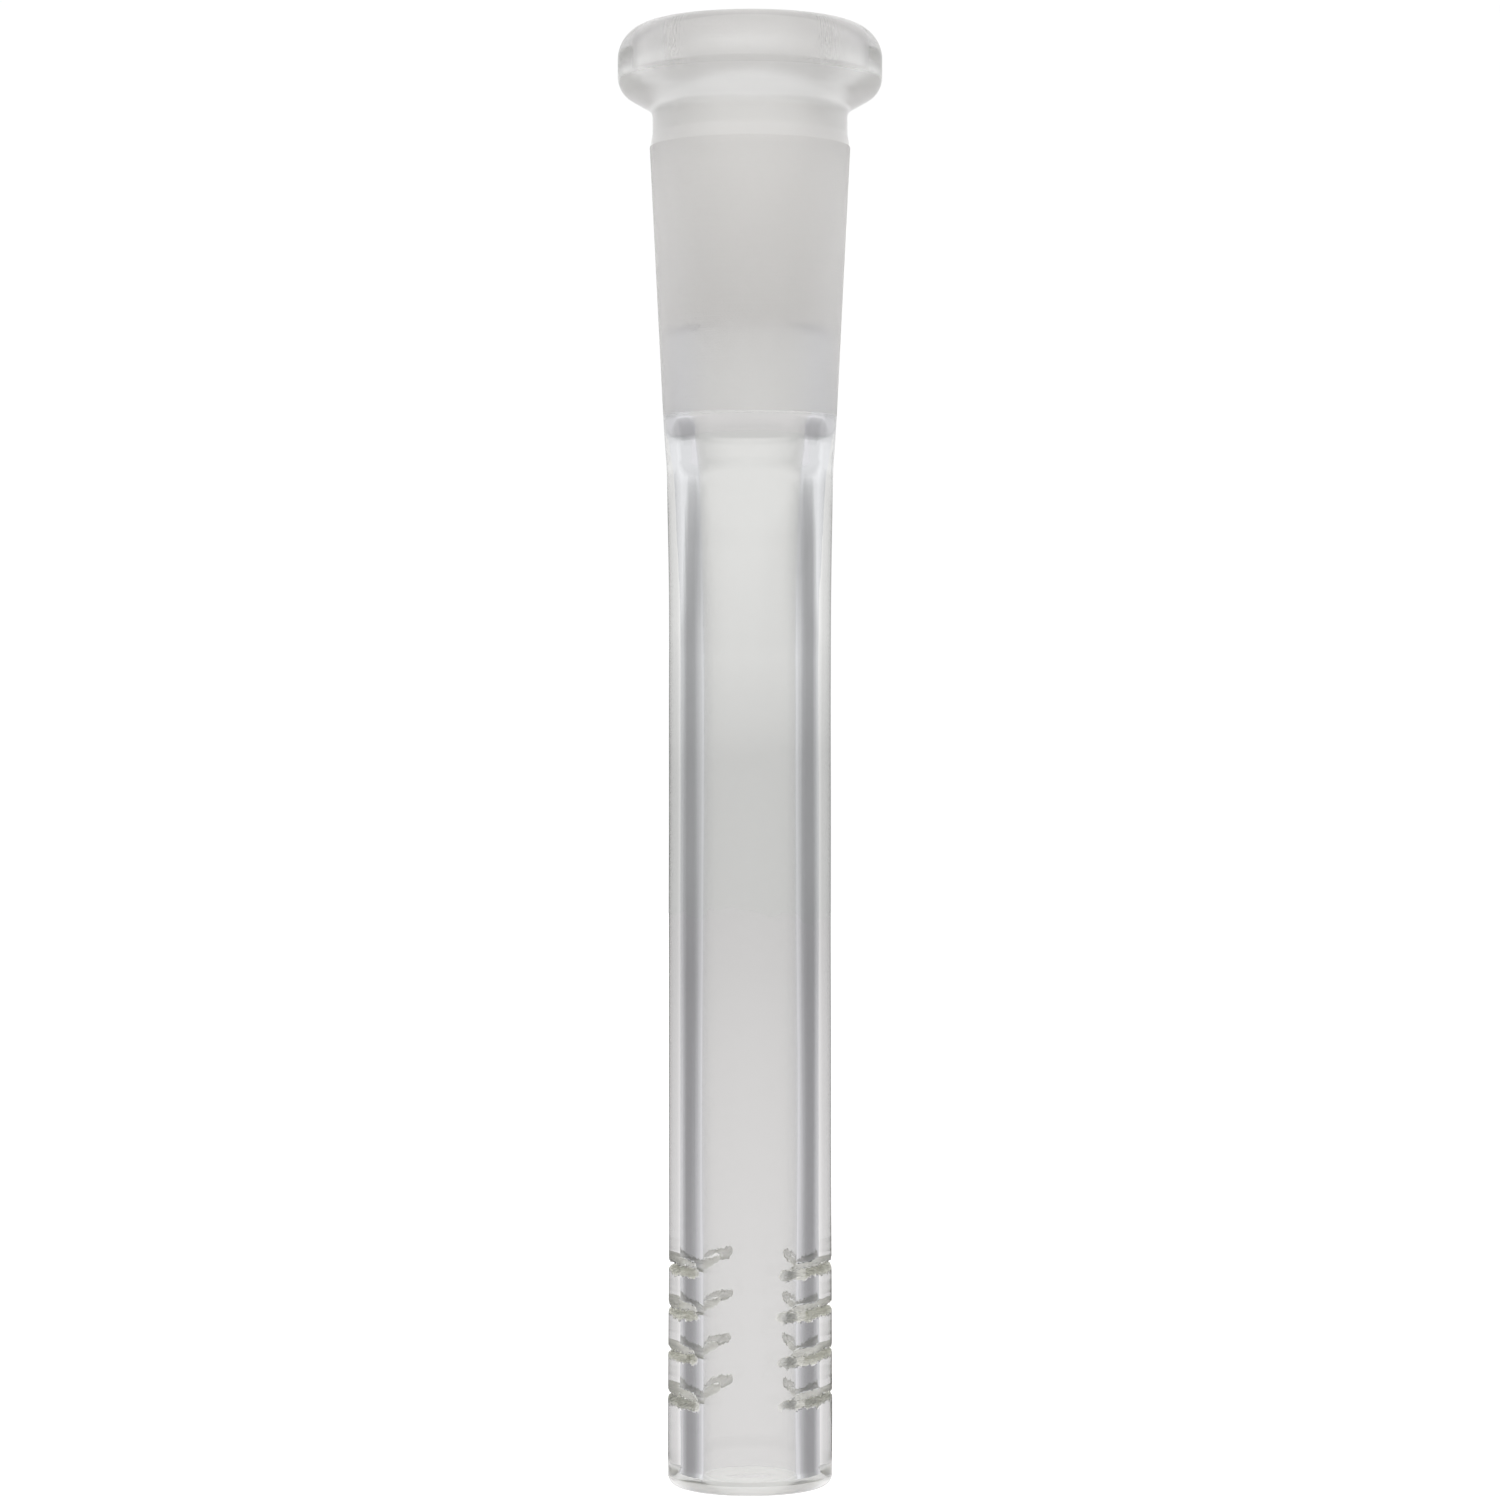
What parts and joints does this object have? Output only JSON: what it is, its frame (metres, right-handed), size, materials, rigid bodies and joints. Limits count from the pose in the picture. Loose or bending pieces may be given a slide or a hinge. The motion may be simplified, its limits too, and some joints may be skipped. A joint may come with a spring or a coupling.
{
  "type": "ground joint diffuser tube",
  "caption": "Glass tube with a rimmed ground cone outside, a ground socket inside its mouth, and a long heavy-wall stem cut with slits on two sides above an open tip.",
  "frame": {"origin": "on the tube's axis, at the lowest edge of the open tip", "axes": "+Z along the axis from the tip to the rim; the two columns of slits face +X and -X"},
  "size_m": [0.0248, 0.0248, 0.1367],
  "materials": {
    "clear_glass": "clear, fire-polished",
    "ground_glass": "fine ground, matt and translucent"
  },
  "bodies": {
    "root": {"rim_flange": "clear_glass", "joint_neck": "clear_glass", "ground_cone": "ground_glass", "weld_ring": "clear_glass", "stem_tube": "clear_glass", "slotted_diffuser": "clear_glass", "polished_tip": "clear_glass"}
  },
  "joints": []
}
